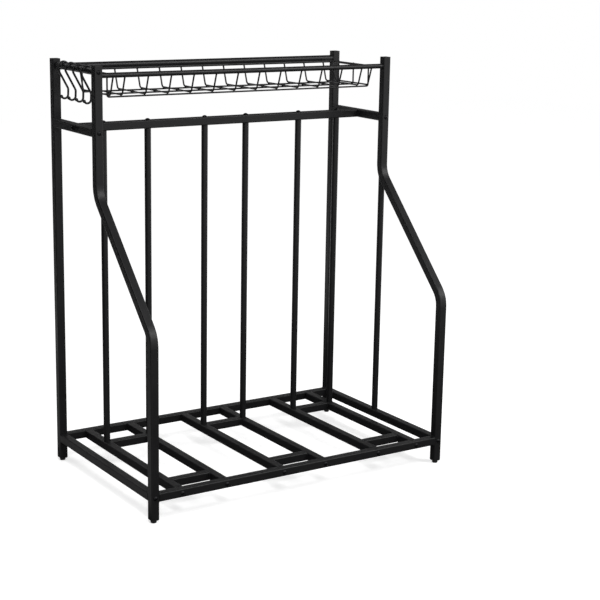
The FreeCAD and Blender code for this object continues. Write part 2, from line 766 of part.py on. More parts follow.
# Posts, legs and their rails. The hook bar is held by bolts on the left side only.
LEFT_BOLTS = ["base_rail_height", SIDE_RAIL_Z, HOOK_BAR_Z]
RIGHT_BOLTS = ["base_rail_height", SIDE_RAIL_Z]
rear_post("left", "-", LEFT_BOLTS)
rear_post("right", "", RIGHT_BOLTS)
front_leg("left", "-", LEFT_BOLTS[1:])
front_leg("right", "", RIGHT_BOLTS[1:])
base_rail("base_front_rail", FRONT)
base_rail("base_rear_rail", REAR)
for side, sign in (("left", "-"), ("right", "")):
    base_side_rail(side, sign)
    upper_side_rail(side, sign)
bar_rail()
right_stay_bar()

# Wheel slots: slats, ties and bars
for number, x in enumerate(BAR_PLACES, start=1):
    wheel_slat(number, x)
    wheel_bar = round_bar("wheel_bar_%d" % number, "bar_diameter", BAR_LENGTH)
    place(wheel_bar, UPRIGHT, x, BAR_PLANE, RAIL_TOP)
for number, centre in enumerate(SLOT_CENTRES, start=1):
    slat_tie("slat_tie_%d_front" % number, centre, "%s + front_tie_setback" % FRONT)
    slat_tie("slat_tie_%d_rear" % number, centre, "%s + rear_tie_setback" % BAR_PLANE)

# Top rails and the basket
rear_top_rail = round_bar("rear_top_rail", "rear_rail_diameter", INNER_WIDTH, tapped=False)
place(rear_top_rail, ALONG_X, "-%s / 2" % INNER_WIDTH, REAR, REAR_RAIL_Z)
front_rail = round_bar("basket_front_rail", "front_rail_diameter", INNER_WIDTH, tapped=False)
place(front_rail, ALONG_X, "-%s / 2" % INNER_WIDTH, TOP_FRONT, RIM_Z)
basket_rim()
basket_wall("basket_front_wires", "-", FLOOR_FRONT + " + wire_toe", "front_rail_diameter / 2")
basket_wall("basket_rear_wires", "", FLOOR_REAR + " - wire_toe", "rim_diameter / 2")
CROSS_REACH = "(%s - %s - 2 * wire_toe)" % (FLOOR_REAR, FLOOR_FRONT)
floor_wires("basket_cross_wires", "XZ_Plane", CROSS_REACH, "X_Axis", "cross_wire_count", CROSS_SPACING,
            (FIRST_CROSS, FLOOR_FRONT + " + wire_toe", FLOOR_Z))
LONG_REACH = "(%s + %s - upright_bend - wire_toe)" % (BASKET_HALF, UPRIGHT_OFFSET)
LONG_FRONT = "%s + long_wire_margin" % FLOOR_FRONT
LONG_Z = "%s - wire_diameter - weld_gap" % FLOOR_Z
floor_wires("basket_long_wires", "YZ_Plane", "2 * " + LONG_REACH, "Y_Axis", "long_wire_count",
            LONG_WIRE_SPACING, ("-" + LONG_REACH, LONG_FRONT, LONG_Z))
for side, sign in (("left", "-"), ("right", "")):
    basket_end(side, sign)

# Hook bar and hooks
hook_bar = round_bar("hook_bar", "hook_bar_diameter", "(top_depth - tube_side)")
place(hook_bar, ALONG_Y, "-" + HALF_WIDTH, "%s + %s" % (TOP_FRONT, HALF_TUBE), HOOK_BAR_Z)
for number in range(1, int(value("hook_count")) + 1):
    s_hook(number)

# Feet and caps
for side, sign in (("left", "-"), ("right", "")):
    foot("foot_front_" + side, sign + HALF_WIDTH, FRONT)
    foot("foot_rear_" + side, sign + HALF_WIDTH, REAR)
    top_cap("top_cap_front_" + side, sign + HALF_WIDTH, TOP_FRONT)
    top_cap("top_cap_rear_" + side, sign + HALF_WIDTH, REAR)

# Bolts, in groups of equal ones
frame_bolt = bolt("frame_bolt", "head_diameter", "head_height", "(tube_side + bolt_grip)")
bar_bolt = bolt("bar_bolt", "bar_head_diameter", "bar_head_height", "(tube_side + bolt_grip)")
BEHIND = "%s + %s" % (REAR, HALF_TUBE)
BEFORE = "%s - %s" % (FRONT, HALF_TUBE)
BEFORE_TOP = "%s - %s" % (TOP_FRONT, HALF_TUBE)
post_seats = []
for sign, heights in (("-", LEFT_BOLTS), ("", RIGHT_BOLTS)):
    x = sign + HALF_WIDTH
    post_seats.append(("front", x, BEFORE, heights[0]))
    post_seats += [("front", x, BEFORE_TOP, height) for height in heights[1:]]
    post_seats += [("rear", x, BEHIND, height) for height in heights]
bolt_group("post_bolts", frame_bolt, post_seats)
bolt_group("slat_bolts_front", frame_bolt, [("front", x, BEFORE, "base_rail_height") for x in BAR_PLACES])
bolt_group("slat_bolts_rear", frame_bolt, [("rear", x, BEHIND, "base_rail_height") for x in BAR_PLACES])
RAIL_SIDE = "%s + %s" % (HALF_WIDTH, HALF_TUBE)
bolt_group("bar_rail_bolts", frame_bolt, [("left", "-(%s)" % RAIL_SIDE, BAR_PLANE, SIDE_RAIL_Z),
                                          ("right", RAIL_SIDE, BAR_PLANE, SIDE_RAIL_Z)])
BAR_RAIL_TOP = "%s + %s" % (SIDE_RAIL_Z, HALF_TUBE)
bolt_group("bar_top_bolts", bar_bolt, [("up", x, BAR_PLANE, BAR_RAIL_TOP) for x in BAR_PLACES])
SLAT_BOTTOM = "base_rail_height - %s" % HALF_TUBE
foot_seats = [("down", x, BAR_PLANE, SLAT_BOTTOM) for x in BAR_PLACES]
foot_seats.append(("down", HALF_WIDTH, TOP_FRONT, SLAT_BOTTOM))
bolt_group("bar_foot_screws", frame_bolt, foot_seats)

doc.recompute()
faults = [item.Label for item in doc.Objects if "Invalid" in item.State or "Error" in item.State]
faults += [node.Label for node in nodes if node.Shape.isNull() or not node.Shape.isValid()]
if faults:
    raise RuntimeError("these did not build: " + ", ".join(faults))
os.makedirs("parts", exist_ok=True)
for node in nodes:
    node.Shape.exportStep("parts/%s.step" % node.Label)
print("%d nodes, %d solids" % (len(nodes), sum(len(node.Shape.Solids) for node in nodes)))
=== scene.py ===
"""Dress the black floor bike rack: finishes, weld beads, welded wire crossings and a white studio."""

import json
import logging
import math
from dataclasses import dataclass, field
from enum import Enum
from typing import Callable, Union

import bmesh
import bpy
from mathutils import Matrix, Vector

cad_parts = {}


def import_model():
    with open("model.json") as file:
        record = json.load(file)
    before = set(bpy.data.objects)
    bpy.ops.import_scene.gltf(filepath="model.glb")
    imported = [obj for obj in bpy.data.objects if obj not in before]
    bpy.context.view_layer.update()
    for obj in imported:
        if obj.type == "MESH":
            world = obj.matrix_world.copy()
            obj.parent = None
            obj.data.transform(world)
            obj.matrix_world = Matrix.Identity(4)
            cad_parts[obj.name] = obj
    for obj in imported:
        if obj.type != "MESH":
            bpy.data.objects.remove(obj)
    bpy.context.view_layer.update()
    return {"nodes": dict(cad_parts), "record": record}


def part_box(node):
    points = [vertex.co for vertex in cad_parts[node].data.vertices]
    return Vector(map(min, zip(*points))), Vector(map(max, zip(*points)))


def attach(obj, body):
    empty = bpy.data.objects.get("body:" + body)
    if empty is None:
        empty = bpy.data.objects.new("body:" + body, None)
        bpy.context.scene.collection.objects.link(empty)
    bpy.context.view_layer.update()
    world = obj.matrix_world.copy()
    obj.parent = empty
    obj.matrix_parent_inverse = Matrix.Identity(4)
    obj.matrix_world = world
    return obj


LOG = logging.getLogger("rack")
MM = 0.001

# A Mix node's colour sockets share their names with its other sockets, so they go by number.
FIRST_COLOUR = 6
SECOND_COLOUR = 7
MIXED_COLOUR = 2

# Noise lies about this value.
NOISE_MIDDLE = 0.5

# How finely the welds are modelled and how their edges are shaded.
BEAD_SIDES = 14
NUGGET_LEVEL = 2
MERGE_GAP = 0.001 * MM
SMOOTH_BELOW = math.radians(60.0)

Operand = Union["Field", float]
Given = Union["Field", float, tuple[float, ...]]
Socket = Union[int, str]
Triple = tuple[float, float, float]


class Slot(Enum):
    """The finishes that the record names."""

    POWDER_COAT = "powder_coat"
    HOOK_COAT = "hook_coat"
    BLACK_PLASTIC = "black_plastic"
    BOLT_STEEL = "bolt_steel"


class Axis(Enum):
    """A direction along which a rod or a weld bead lies."""

    X = Vector((1.0, 0.0, 0.0))
    Y = Vector((0.0, 1.0, 0.0))
    Z = Vector((0.0, 0.0, 1.0))


class Field:
    """A value that changes over a surface, with operators that add Math nodes."""

    def __init__(self, graph: "Graph", socket: bpy.types.NodeSocket | None) -> None:
        """Wrap a node's output socket; an output node has none."""
        self.graph = graph
        self.socket = socket

    def _math(self, operation: str, first: Operand, second: Operand) -> "Field":
        """Add one Math node on two values."""
        return self.graph.node("ShaderNodeMath", {0: first, 1: second}, {"operation": operation})

    def __add__(self, other: Operand) -> "Field":
        """Add a value."""
        return self._math("ADD", self, other)

    def __radd__(self, other: Operand) -> "Field":
        """Be added to a value."""
        return self._math("ADD", other, self)

    def __sub__(self, other: Operand) -> "Field":
        """Take a value away."""
        return self._math("SUBTRACT", self, other)

    def __rsub__(self, other: Operand) -> "Field":
        """Be taken away from a value."""
        return self._math("SUBTRACT", other, self)

    def __mul__(self, other: Operand) -> "Field":
        """Multiply by a value."""
        return self._math("MULTIPLY", self, other)

    def __rmul__(self, other: Operand) -> "Field":
        """Be multiplied by a value."""
        return self._math("MULTIPLY", other, self)

    def swing(self, width: float) -> "Field":
        """Move noise to swing about zero and scale it by a width."""
        return (self - NOISE_MIDDLE) * width


@dataclass(frozen=True)
class Grain:
    """A layer of cloudy noise: how many clouds fit in a metre, and how many finer layers they hold."""

    scale: float
    detail: float


class Graph:
    """The nodes of one material or world."""

    def __init__(self, tree: bpy.types.NodeTree) -> None:
        """Start with an empty tree."""
        self.tree = tree
        self.tree.nodes.clear()

    def node(self, kind: str, inputs: dict[Socket, Given] | None = None,
             settings: dict[str, str] | None = None, output: Socket = 0) -> Field:
        """Add a node, set it up and connect it.

        Args:
            kind: The node's type.
            inputs: Values or fields by socket name or number.
            settings: Properties, which are set before the inputs.
            output: The socket to hand back.

        Returns:
            The chosen output as a field.
        """
        made = self.tree.nodes.new(kind)
        for name, setting in (settings or {}).items():
            setattr(made, name, setting)
        for name, given in (inputs or {}).items():
            if isinstance(given, Field):
                self.tree.links.new(given.socket, made.inputs[name])
            else:
                made.inputs[name].default_value = given
        return Field(self, made.outputs[output] if made.outputs else None)

    def noise(self, grain: Grain) -> Field:
        """Make cloudy noise in the object's own coordinates.

        Args:
            grain: The noise's scale and detail.

        Returns:
            The noise, from 0 to 1.
        """
        place = self.node("ShaderNodeTexCoord", output="Object")
        inputs = {"Vector": place, "Scale": grain.scale, "Detail": grain.detail}
        return self.node("ShaderNodeTexNoise", inputs)

    def blend(self, factor: Operand, first: Triple, second: Triple) -> Field:
        """Mix two colours.

        Args:
            factor: Share of the second colour.
            first: The first colour.
            second: The second colour.

        Returns:
            The mixed colour.
        """
        inputs = {"Factor": factor, FIRST_COLOUR: (*first, 1.0), SECOND_COLOUR: (*second, 1.0)}
        return self.node("ShaderNodeMix", inputs, {"data_type": "RGBA"}, MIXED_COLOUR)

    def bump(self, height: Field, strength: float, depth: float) -> Field:
        """Relief as a changed normal.

        Args:
            height: The relief, from 0 to 1.
            strength: How much of it shows.
            depth: Its height in metres.

        Returns:
            The normal.
        """
        return self.node("ShaderNodeBump", {"Height": height, "Strength": strength, "Distance": depth})

    def seen(self) -> Field:
        """Tell rays that see the set from rays that light it.

        Returns:
            One for rays from the camera, from gloss and through glass, and zero for the rest.
        """
        rays = ("Is Camera Ray", "Is Glossy Ray", "Is Transmission Ray")
        camera, gloss, glass = (self.node("ShaderNodeLightPath", output=ray) for ray in rays)
        return camera + gloss + glass

    def surface(self, **inputs: Operand) -> None:
        """Finish with a principled surface.

        Args:
            inputs: Values or fields by socket name, with _ for a space.
        """
        sockets = {name.replace("_", " "): given for name, given in inputs.items()}
        shader = self.node("ShaderNodeBsdfPrincipled", sockets)
        self.node("ShaderNodeOutputMaterial", {"Surface": shader})


def grey(level: float) -> tuple[float, float, float, float]:
    """An opaque grey."""
    return level, level, level, 1.0


def new_graph(name: str) -> tuple[bpy.types.Material, Graph]:
    """Start a material.

    Args:
        name: The material's name.

    Returns:
        The material and its graph.
    """
    material = bpy.data.materials.new(name)
    material.use_nodes = True
    return material, Graph(material.node_tree)


@dataclass(frozen=True)
class PowderCoat:
    """Satin black powder coat, with the fine orange peel that baking leaves."""

    name: str = "satin_powder_coat"
    dark: Triple = (0.0060, 0.0060, 0.0064)
    light: Triple = (0.0100, 0.0100, 0.0105)
    shine: float = 0.22
    roughness: float = 0.38
    clouds: Grain = Grain(14.0, 3.0)
    cloud_swing: float = 0.16
    fleck: Grain = Grain(2600.0, 0.0)
    fleck_share: float = 0.25
    fleck_swing: float = 0.06
    peel: Grain = Grain(620.0, 1.5)
    ripple: Grain = Grain(124.0, 1.0)
    ripple_share: float = 0.3
    peel_strength: float = 1.0
    peel_depth: float = 0.16 * MM

    def material(self) -> bpy.types.Material:
        """Make the coat from clouds and flecks in its colour and gloss, and peel and ripple in its relief.

        Returns:
            The material.
        """
        material, graph = new_graph(self.name)
        clouds = graph.noise(self.clouds)
        fleck = graph.noise(self.fleck)
        tone = clouds * (1.0 - self.fleck_share) + fleck * self.fleck_share
        relief = (graph.noise(self.peel) * (1.0 - self.ripple_share)
                  + graph.noise(self.ripple) * self.ripple_share)
        roughness = self.roughness + clouds.swing(self.cloud_swing) + fleck.swing(self.fleck_swing)
        graph.surface(Base_Color=graph.blend(tone, self.dark, self.light),
                      Roughness=roughness,
                      Specular_IOR_Level=self.shine,
                      Normal=graph.bump(relief, self.peel_strength, self.peel_depth))
        return material


@dataclass(frozen=True)
class DippedCoat:
    """The smooth, slightly glossier black of the hooks' dipped coat."""

    name: str = "dipped_hook_coat"
    dark: Triple = (0.0050, 0.0050, 0.0055)
    light: Triple = (0.0080, 0.0080, 0.0086)
    shine: float = 0.28
    roughness: float = 0.30
    clouds: Grain = Grain(60.0, 2.0)
    cloud_swing: float = 0.14
    sag: Grain = Grain(260.0, 1.0)
    sag_strength: float = 0.10
    sag_depth: float = 0.15 * MM

    def material(self) -> bpy.types.Material:
        """Make the coat, cloudy in colour and gloss and sagging a little where it ran.

        Returns:
            The material.
        """
        material, graph = new_graph(self.name)
        clouds = graph.noise(self.clouds)
        graph.surface(Base_Color=graph.blend(clouds, self.dark, self.light),
                      Roughness=self.roughness + clouds.swing(self.cloud_swing),
                      Specular_IOR_Level=self.shine,
                      Normal=graph.bump(graph.noise(self.sag), self.sag_strength, self.sag_depth))
        return material


@dataclass(frozen=True)
class MouldedPlastic:
    """Black moulded plastic with a fine spark-eroded grain."""

    name: str = "moulded_black_plastic"
    dark: Triple = (0.0065, 0.0065, 0.0068)
    light: Triple = (0.0120, 0.0120, 0.0124)
    shine: float = 0.25
    roughness: float = 0.56
    flow: Grain = Grain(90.0, 2.0)
    grain: Grain = Grain(2200.0, 1.0)
    grain_swing: float = 0.16
    grain_strength: float = 0.22
    grain_depth: float = 0.08 * MM

    def material(self) -> bpy.types.Material:
        """Make the plastic, with flow marks in its colour and the mould's grain in its gloss and relief.

        Returns:
            The material.
        """
        material, graph = new_graph(self.name)
        grain = graph.noise(self.grain)
        graph.surface(Base_Color=graph.blend(graph.noise(self.flow), self.dark, self.light),
                      Roughness=self.roughness + grain.swing(self.grain_swing),
                      Specular_IOR_Level=self.shine,
                      Normal=graph.bump(grain, self.grain_strength, self.grain_depth))
        return material


@dataclass(frozen=True)
class BlackOxide:
    """Blackened steel of the bolts, finely marked and rubbed a little lighter in places."""

    name: str = "blackened_bolt_steel"
    dark: Triple = (0.010, 0.010, 0.011)
    light: Triple = (0.022, 0.022, 0.024)
    metal: float = 0.85
    roughness: float = 0.42
    blotch: Grain = Grain(420.0, 3.0)
    rubbed_from: float = 0.45
    rubbed_to: float = 0.78
    marks: Grain = Grain(1800.0, 2.0)
    mark_swing: float = 0.2
    mark_strength: float = 0.12
    mark_depth: float = 0.06 * MM

    def material(self) -> bpy.types.Material:
        """Make the steel, with rubbed blotches in its colour and marks in its gloss and relief.

        Returns:
            The material.
        """
        material, graph = new_graph(self.name)
        marks = graph.noise(self.marks)
        limits = {"From Min": self.rubbed_from, "From Max": self.rubbed_to}
        rubbed = graph.node("ShaderNodeMapRange", {"Value": graph.noise(self.blotch), **limits})
        graph.surface(Base_Color=graph.blend(rubbed, self.dark, self.light),
                      Metallic=self.metal,
                      Roughness=self.roughness + marks.swing(self.mark_swing),
                      Normal=graph.bump(marks, self.mark_strength, self.mark_depth))
        return material


class Finishes:
    """One material for each of the record's slots."""

    def __init__(self) -> None:
        """Make the materials."""
        self.by_slot = {Slot.POWDER_COAT: PowderCoat().material(),
                        Slot.HOOK_COAT: DippedCoat().material(),
                        Slot.BLACK_PLASTIC: MouldedPlastic().material(),
                        Slot.BOLT_STEEL: BlackOxide().material()}

    def dress(self, piece: bpy.types.Object, slot: Slot) -> None:
        """Put a slot's material on a piece or CAD node."""
        piece.data.materials.clear()
        piece.data.materials.append(self.by_slot[slot])


class Workpiece:
    """A mesh on the bench, shaped in edit mode from a primitive to a finished piece."""

    def __init__(self, name: str, centre: Vector) -> None:
        """Take up the primitive that was just added.

        Args:
            name: The finished piece's name.
            centre: The middle of the part that is selected and shaped next.
        """
        self.piece = bpy.context.object
        self.piece.name = name
        self.piece.data.name = name
        self.centre = centre.copy()
        bpy.ops.object.transform_apply(location=True, rotation=True, scale=True)
        bpy.ops.object.mode_set(mode="EDIT")
        bpy.ops.mesh.select_all(action="SELECT")

    @classmethod
    def disc(cls, name: str, radius: float, place: Vector, along: Vector,
             filled: bool = True) -> "Workpiece":
        """Start from a disc or ring that faces along a direction.

        Args:
            name: The finished piece's name.
            radius: Its radius in metres.
            place: Its centre.
            along: The way that it faces.
            filled: Whether it is a disc and not only its rim.

        Returns:
            The new workpiece.
        """
        bpy.ops.object.select_all(action="DESELECT")
        bpy.ops.mesh.primitive_circle_add(vertices=BEAD_SIDES, radius=radius, location=place,
                                          rotation=along.to_track_quat("Z", "Y").to_euler(),
                                          fill_type="NGON" if filled else "NOTHING")
        return cls(name, place)

    @classmethod
    def nugget(cls, name: str, radius: float, place: Vector) -> "Workpiece":
        """Start from a small faceted ball.

        Args:
            name: The finished piece's name.
            radius: Its radius in metres.
            place: Its centre.

        Returns:
            The new workpiece.
        """
        bpy.ops.object.select_all(action="DESELECT")
        bpy.ops.mesh.primitive_ico_sphere_add(subdivisions=NUGGET_LEVEL, radius=radius, location=place)
        return cls(name, place)

    def pick(self, test: Callable[[Vector], bool]) -> None:
        """Select vertices by their places.

        Args:
            test: Tells for a vertex's place whether it is selected.
        """
        sheet = bmesh.from_edit_mesh(self.piece.data)
        for vertex in sheet.verts:
            vertex.select = test(vertex.co)
        sheet.select_flush(True)
        bmesh.update_edit_mesh(self.piece.data)

    def scale(self, factors: Triple) -> None:
        """Scale what is selected about its middle."""
        bpy.ops.transform.resize(value=factors, center_override=self.centre)

    def draw_out(self, step: Vector, factor: float) -> None:
        """Extrude the selected end and scale the new end.

        Args:
            step: The way that the end moves.
            factor: The new end's size over the old one's.
        """
        bpy.ops.mesh.extrude_region_move(TRANSFORM_OT_translate={"value": step})
        self.centre += step
        self.scale((factor, factor, factor))

    def spin(self, centre: Vector, axis: Vector, steps: int) -> None:
        """Spin the section once round an axis and close the seam.

        Args:
            centre: A point on the axis.
            axis: The axis's direction.
            steps: How many sections go round.
        """
        bpy.ops.mesh.spin(steps=steps, angle=math.tau, center=centre, axis=axis)
        bpy.ops.mesh.select_all(action="SELECT")
        bpy.ops.mesh.remove_doubles(threshold=MERGE_GAP)

    def copy_to(self, places: list[Vector]) -> None:
        """Copy the finished shape to more places.

        Args:
            places: The place where the shape is, and then the others.
        """
        bpy.ops.mesh.select_all(action="SELECT")
        for here, there in zip(places, places[1:]):
            bpy.ops.mesh.duplicate_move(TRANSFORM_OT_translate={"value": there - here})

    def finish(self) -> bpy.types.Object:
        """Turn the faces outwards, leave edit mode and shade the piece.

        Returns:
            The finished object.
        """
        bpy.ops.mesh.select_all(action="SELECT")
        bpy.ops.mesh.normals_make_consistent(inside=False)
        bpy.ops.object.mode_set(mode="OBJECT")
        bpy.ops.object.shade_smooth_by_angle(angle=SMOOTH_BELOW)
        return self.piece


def middle(node: str) -> Vector:
    """The middle of a CAD node's box."""
    low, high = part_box(node)
    return (low + high) / 2


def rod_radius(rod: str) -> float:
    """The radius of a level rod."""
    low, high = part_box(rod)
    return (high.z - low.z) / 2


def rod_ends(rod: str, axis: Axis) -> list[Vector]:
    """The middles of a level rod's two ends.

    Args:
        rod: The rod's node.
        axis: The direction along which it lies.

    Returns:
        The end that comes first along the axis, and the other.
    """
    low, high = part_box(rod)
    reach = (high - low) * axis.value / 2
    return [middle(rod) - reach, middle(rod) + reach]


def spread(first: float, last: float, count: int) -> list[float]:
    """Evenly spaced numbers from the first to the last."""
    return [first + (last - first) * index / (count - 1) for index in range(count)]


@dataclass(frozen=True)
class FilletBead:
    """The bead of a weld along a short straight joint, with the ripples of the weld pool."""

    length: float
    leg: float = 2.1 * MM
    ripples: int = 8
    swell: float = 1.07
    end_share: float = 0.62

    def lay(self, name: str, axis: Axis, places: list[Vector]) -> bpy.types.Object:
        """Model one bead and copy it to every joint.

        Args:
            name: The piece's name.
            axis: The direction along which the joints run.
            places: The middles of the joints.

        Returns:
            All the beads as one piece.
        """
        along = axis.value
        start = places[0] - along * (self.length / 2)
        # A ripple takes two steps, out and in, and each tapered end takes one.
        step = along * (self.length / (2 * self.ripples + 2))
        work = Workpiece.disc(name, self.leg * self.end_share, start, along)
        work.draw_out(step, 1.0 / self.end_share)
        for _ in range(self.ripples):
            work.draw_out(step, self.swell)
            work.draw_out(step, 1.0 / self.swell)
        work.draw_out(step, self.end_share)
        work.copy_to(places)
        return work.finish()


@dataclass(frozen=True)
class RingBead:
    """The weld bead round the end of a rod that butts against a tube or a rail."""

    leg: float = 1.6 * MM
    steps: int = 48
    steps_to_a_ripple: int = 3
    ripple: float = 0.10 * MM

    def lay(self, name: str, axis: Axis, rods: tuple[str, ...]) -> bpy.types.Object:
        """Model one ring and copy it to both ends of every rod.

        Args:
            name: The piece's name.
            axis: The direction along which the rods lie.
            rods: The nodes of the rods, which are equally thick.

        Returns:
            All the rings as one piece.
        """
        places = [end for rod in rods for end in rod_ends(rod, axis)]
        first = places[0]
        side = axis.value.orthogonal().normalized()
        across = axis.value.cross(side)
        work = Workpiece.disc(name, self.leg, first + side * rod_radius(rods[0]), across, filled=False)
        work.spin(first, axis.value, self.steps)
        work.pick(lambda point: self._crest(point - first, side, across))
        bpy.ops.transform.shrink_fatten(value=self.ripple)
        work.copy_to(places)
        return work.finish()

    def _crest(self, arm: Vector, side: Vector, across: Vector) -> bool:
        """Tell whether a point of the ring lies on a ripple's crest."""
        turn = math.atan2(arm.dot(across), arm.dot(side)) / math.tau * self.steps
        return round(turn) % self.steps_to_a_ripple == 0


@dataclass(frozen=True)
class SpotWeld:
    """The flattened nugget where two wires are welded across each other."""

    radius: float = 2.3 * MM
    flat: float = 0.62
    waist: float = 0.84
    waist_height: float = 0.2
    smoothing: float = 0.3

    def lay(self, name: str, places: list[Vector]) -> bpy.types.Object:
        """Model one nugget and copy it to every crossing.

        Args:
            name: The piece's name.
            places: The crossings.

        Returns:
            All the nuggets as one piece.
        """
        level = places[0].z
        work = Workpiece.nugget(name, self.radius, places[0])
        work.scale((1.0, 1.0, self.flat))
        work.pick(lambda point: abs(point.z - level) < self.waist_height * self.radius)
        work.scale((self.waist, self.waist, 1.0))
        bpy.ops.mesh.select_all(action="SELECT")
        bpy.ops.mesh.vertices_smooth(factor=self.smoothing)
        work.copy_to(places)
        return work.finish()


@dataclass(frozen=True)
class Workshop:
    """What every sub-assembly is made with: the CAD nodes, their slots and the materials."""

    nodes: dict[str, bpy.types.Object]
    slots: dict[str, Slot]
    finishes: Finishes


@dataclass
class SubAssembly:
    """CAD nodes that belong together, by whole name or by prefix, with the pieces that finish them."""

    shop: Workshop
    names: tuple[str, ...] = ()
    prefixes: tuple[str, ...] = ()
    slot: Slot = Slot.POWDER_COAT
    made: list[bpy.types.Object] = field(default_factory=list)

    def build(self) -> None:
        """Model the new pieces; a plain sub-assembly has none."""

    def keep(self, piece: bpy.types.Object) -> None:
        """Let a new piece ride on the frame and take its slot.

        Args:
            piece: The finished piece.
        """
        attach(piece, "frame")
        self.made.append(piece)

    def dress(self) -> None:
        """Put the finishes on the CAD nodes and on the new pieces."""
        for name, node in self.shop.nodes.items():
            if name in self.names or name.startswith(self.prefixes):
                self.shop.finishes.dress(node, self.shop.slots[name])
                LOG.info("%s: %s", name, self.shop.slots[name].value)
        for piece in self.made:
            self.shop.finishes.dress(piece, self.slot)
            LOG.info("%s: %d faces, new", piece.name, len(piece.data.polygons))


@dataclass
class TubeFrame(SubAssembly):
    """Posts, bent legs and rails, with the welds of the rails that run across."""

    names: tuple[str, ...] = ("bar_rail", "rear_top_rail", "right_stay_bar")
    prefixes: tuple[str, ...] = ("rear_post", "front_leg", "base_", "upper_side_rail")
    base_bead: FilletBead = FilletBead(length=16.0 * MM)
    top_bead: RingBead = RingBead()

    def build(self) -> None:
        """Lay the beads over and under the base rails' ends, and round the rear top rail's ends."""
        seams = []
        for rail in ("base_front_rail", "base_rear_rail"):
            low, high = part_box(rail)
            y = middle(rail).y
            seams += [Vector((x, y, z)) for x in (low.x, high.x) for z in (low.z, high.z)]
        self.keep(self.base_bead.lay("base_rail_welds", Axis.Y, seams))
        self.keep(self.top_bead.lay("rear_top_rail_welds", Axis.X, ("rear_top_rail",)))


@dataclass
class WheelSlots(SubAssembly):
    """Slats, upright bars and the ties that are welded between the slats."""

    prefixes: tuple[str, ...] = ("wheel_slat", "wheel_bar", "slat_tie")
    slots_across: int = 3
    tie_bead: FilletBead = FilletBead(length=15.0 * MM)

    def build(self) -> None:
        """Lay an upright bead at each side of both ends of every tie."""
        seams = []
        for number in range(1, self.slots_across + 1):
            for end in ("front", "rear"):
                tie = f"slat_tie_{number}_{end}"
                low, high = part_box(tie)
                z = middle(tie).z
                seams += [Vector((x, y, z)) for x in (low.x, high.x) for y in (low.y, high.y)]
        self.keep(self.tie_bead.lay("slat_tie_welds", Axis.Z, seams))


@dataclass
class WireBasket(SubAssembly):
    """The basket's rails, rim and wires, with the nuggets and beads where they are welded."""

    prefixes: tuple[str, ...] = ("basket_",)
    cross_wires: int = 12
    long_wires: int = 3
    wall_taper: float = 16.0 * MM
    wall_depth: float = 47.0 * MM
    floor_weld: SpotWeld = SpotWeld()
    rim_weld: SpotWeld = SpotWeld(radius=2.7 * MM, flat=0.8)
    rail_bead: RingBead = RingBead(leg=1.4 * MM)
    rim_bead: RingBead = RingBead(leg=1.1 * MM, steps=36)

    def build(self) -> None:
        """Weld the wires at their crossings and at the rails, and the rails at their ends."""
        self.keep(self.floor_weld.lay("basket_floor_welds", self._crossings()))
        self.keep(self.rim_weld.lay("basket_rim_welds", self._wall_tops() + self._uprights()))
        self.keep(self.rail_bead.lay("basket_front_rail_welds", Axis.X, ("basket_front_rail",)))
        rims = ("basket_rim_left", "basket_rim_right")
        self.keep(self.rim_bead.lay("basket_rim_end_welds", Axis.Y, rims))

    def _across(self) -> list[float]:
        """The places along X of the end rods and of the cross wires between them.

        Returns:
            The places from left to right.
        """
        low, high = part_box("basket_cross_wires")
        wire = rod_radius("basket_long_wires")
        wires = spread(low.x + wire, high.x - wire, self.cross_wires)
        return [middle("basket_rim_left").x, *wires, middle("basket_rim_right").x]

    def _along(self) -> list[float]:
        """The places along Y of the floor's long wires.

        Returns:
            The places from front to rear.
        """
        low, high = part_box("basket_long_wires")
        wire = rod_radius("basket_long_wires")
        return spread(low.y + wire, high.y - wire, self.long_wires)

    def _crossings(self) -> list[Vector]:
        """The places where the floor's long wires touch the wires above them."""
        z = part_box("basket_long_wires")[1].z
        return [Vector((x, y, z)) for x in self._across() for y in self._along()]

    def _wall_tops(self) -> list[Vector]:
        """The places where the walls' wires meet the front rail and the rear rim.

        Returns:
            The places on the front rail and then those on the rear rim.
        """
        lean = math.atan2(self.wall_taper, self.wall_depth)
        tops = []
        for rod, way in (("basket_front_rail", 1.0), ("basket_rim_rear", -1.0)):
            centre = middle(rod)
            reach = rod_radius(rod)
            y = centre.y + way * reach * math.sin(lean)
            z = centre.z - reach * math.cos(lean)
            tops += [Vector((x, y, z)) for x in self._across()]
        return tops

    def _uprights(self) -> list[Vector]:
        """The places where the ends' uprights touch the end rods.

        Returns:
            The places at the left end and then those at the right.
        """
        seats = []
        for rod, way in (("basket_rim_left", -1.0), ("basket_rim_right", 1.0)):
            centre = middle(rod)
            x = centre.x + way * rod_radius(rod)
            seats += [Vector((x, y, centre.z)) for y in self._along()]
        return seats


@dataclass
class HookRow(SubAssembly):
    """The bar at the left side and the hooks that hang on it."""

    prefixes: tuple[str, ...] = ("hook_bar", "s_hook")


@dataclass
class FeetAndCaps(SubAssembly):
    """The moulded feet and the caps on the tubes' tops."""

    prefixes: tuple[str, ...] = ("foot_", "top_cap")


@dataclass
class Bolts(SubAssembly):
    """The button-head bolts and screws."""

    prefixes: tuple[str, ...] = ("post_bolts", "slat_bolts", "bar_rail_bolts", "bar_top_bolts",
                                 "bar_foot_screws")


@dataclass(frozen=True)
class Lamp:
    """A soft square lamp, with its side in metres and its power in watts."""

    name: str
    place: Triple
    size: float
    power: float


@dataclass(frozen=True)
class Flag:
    """A dark card beside the set, seen only in reflections, turned by degrees about X, Y and Z."""

    name: str
    place: Triple
    size: tuple[float, float]
    turn: Triple
    level: float


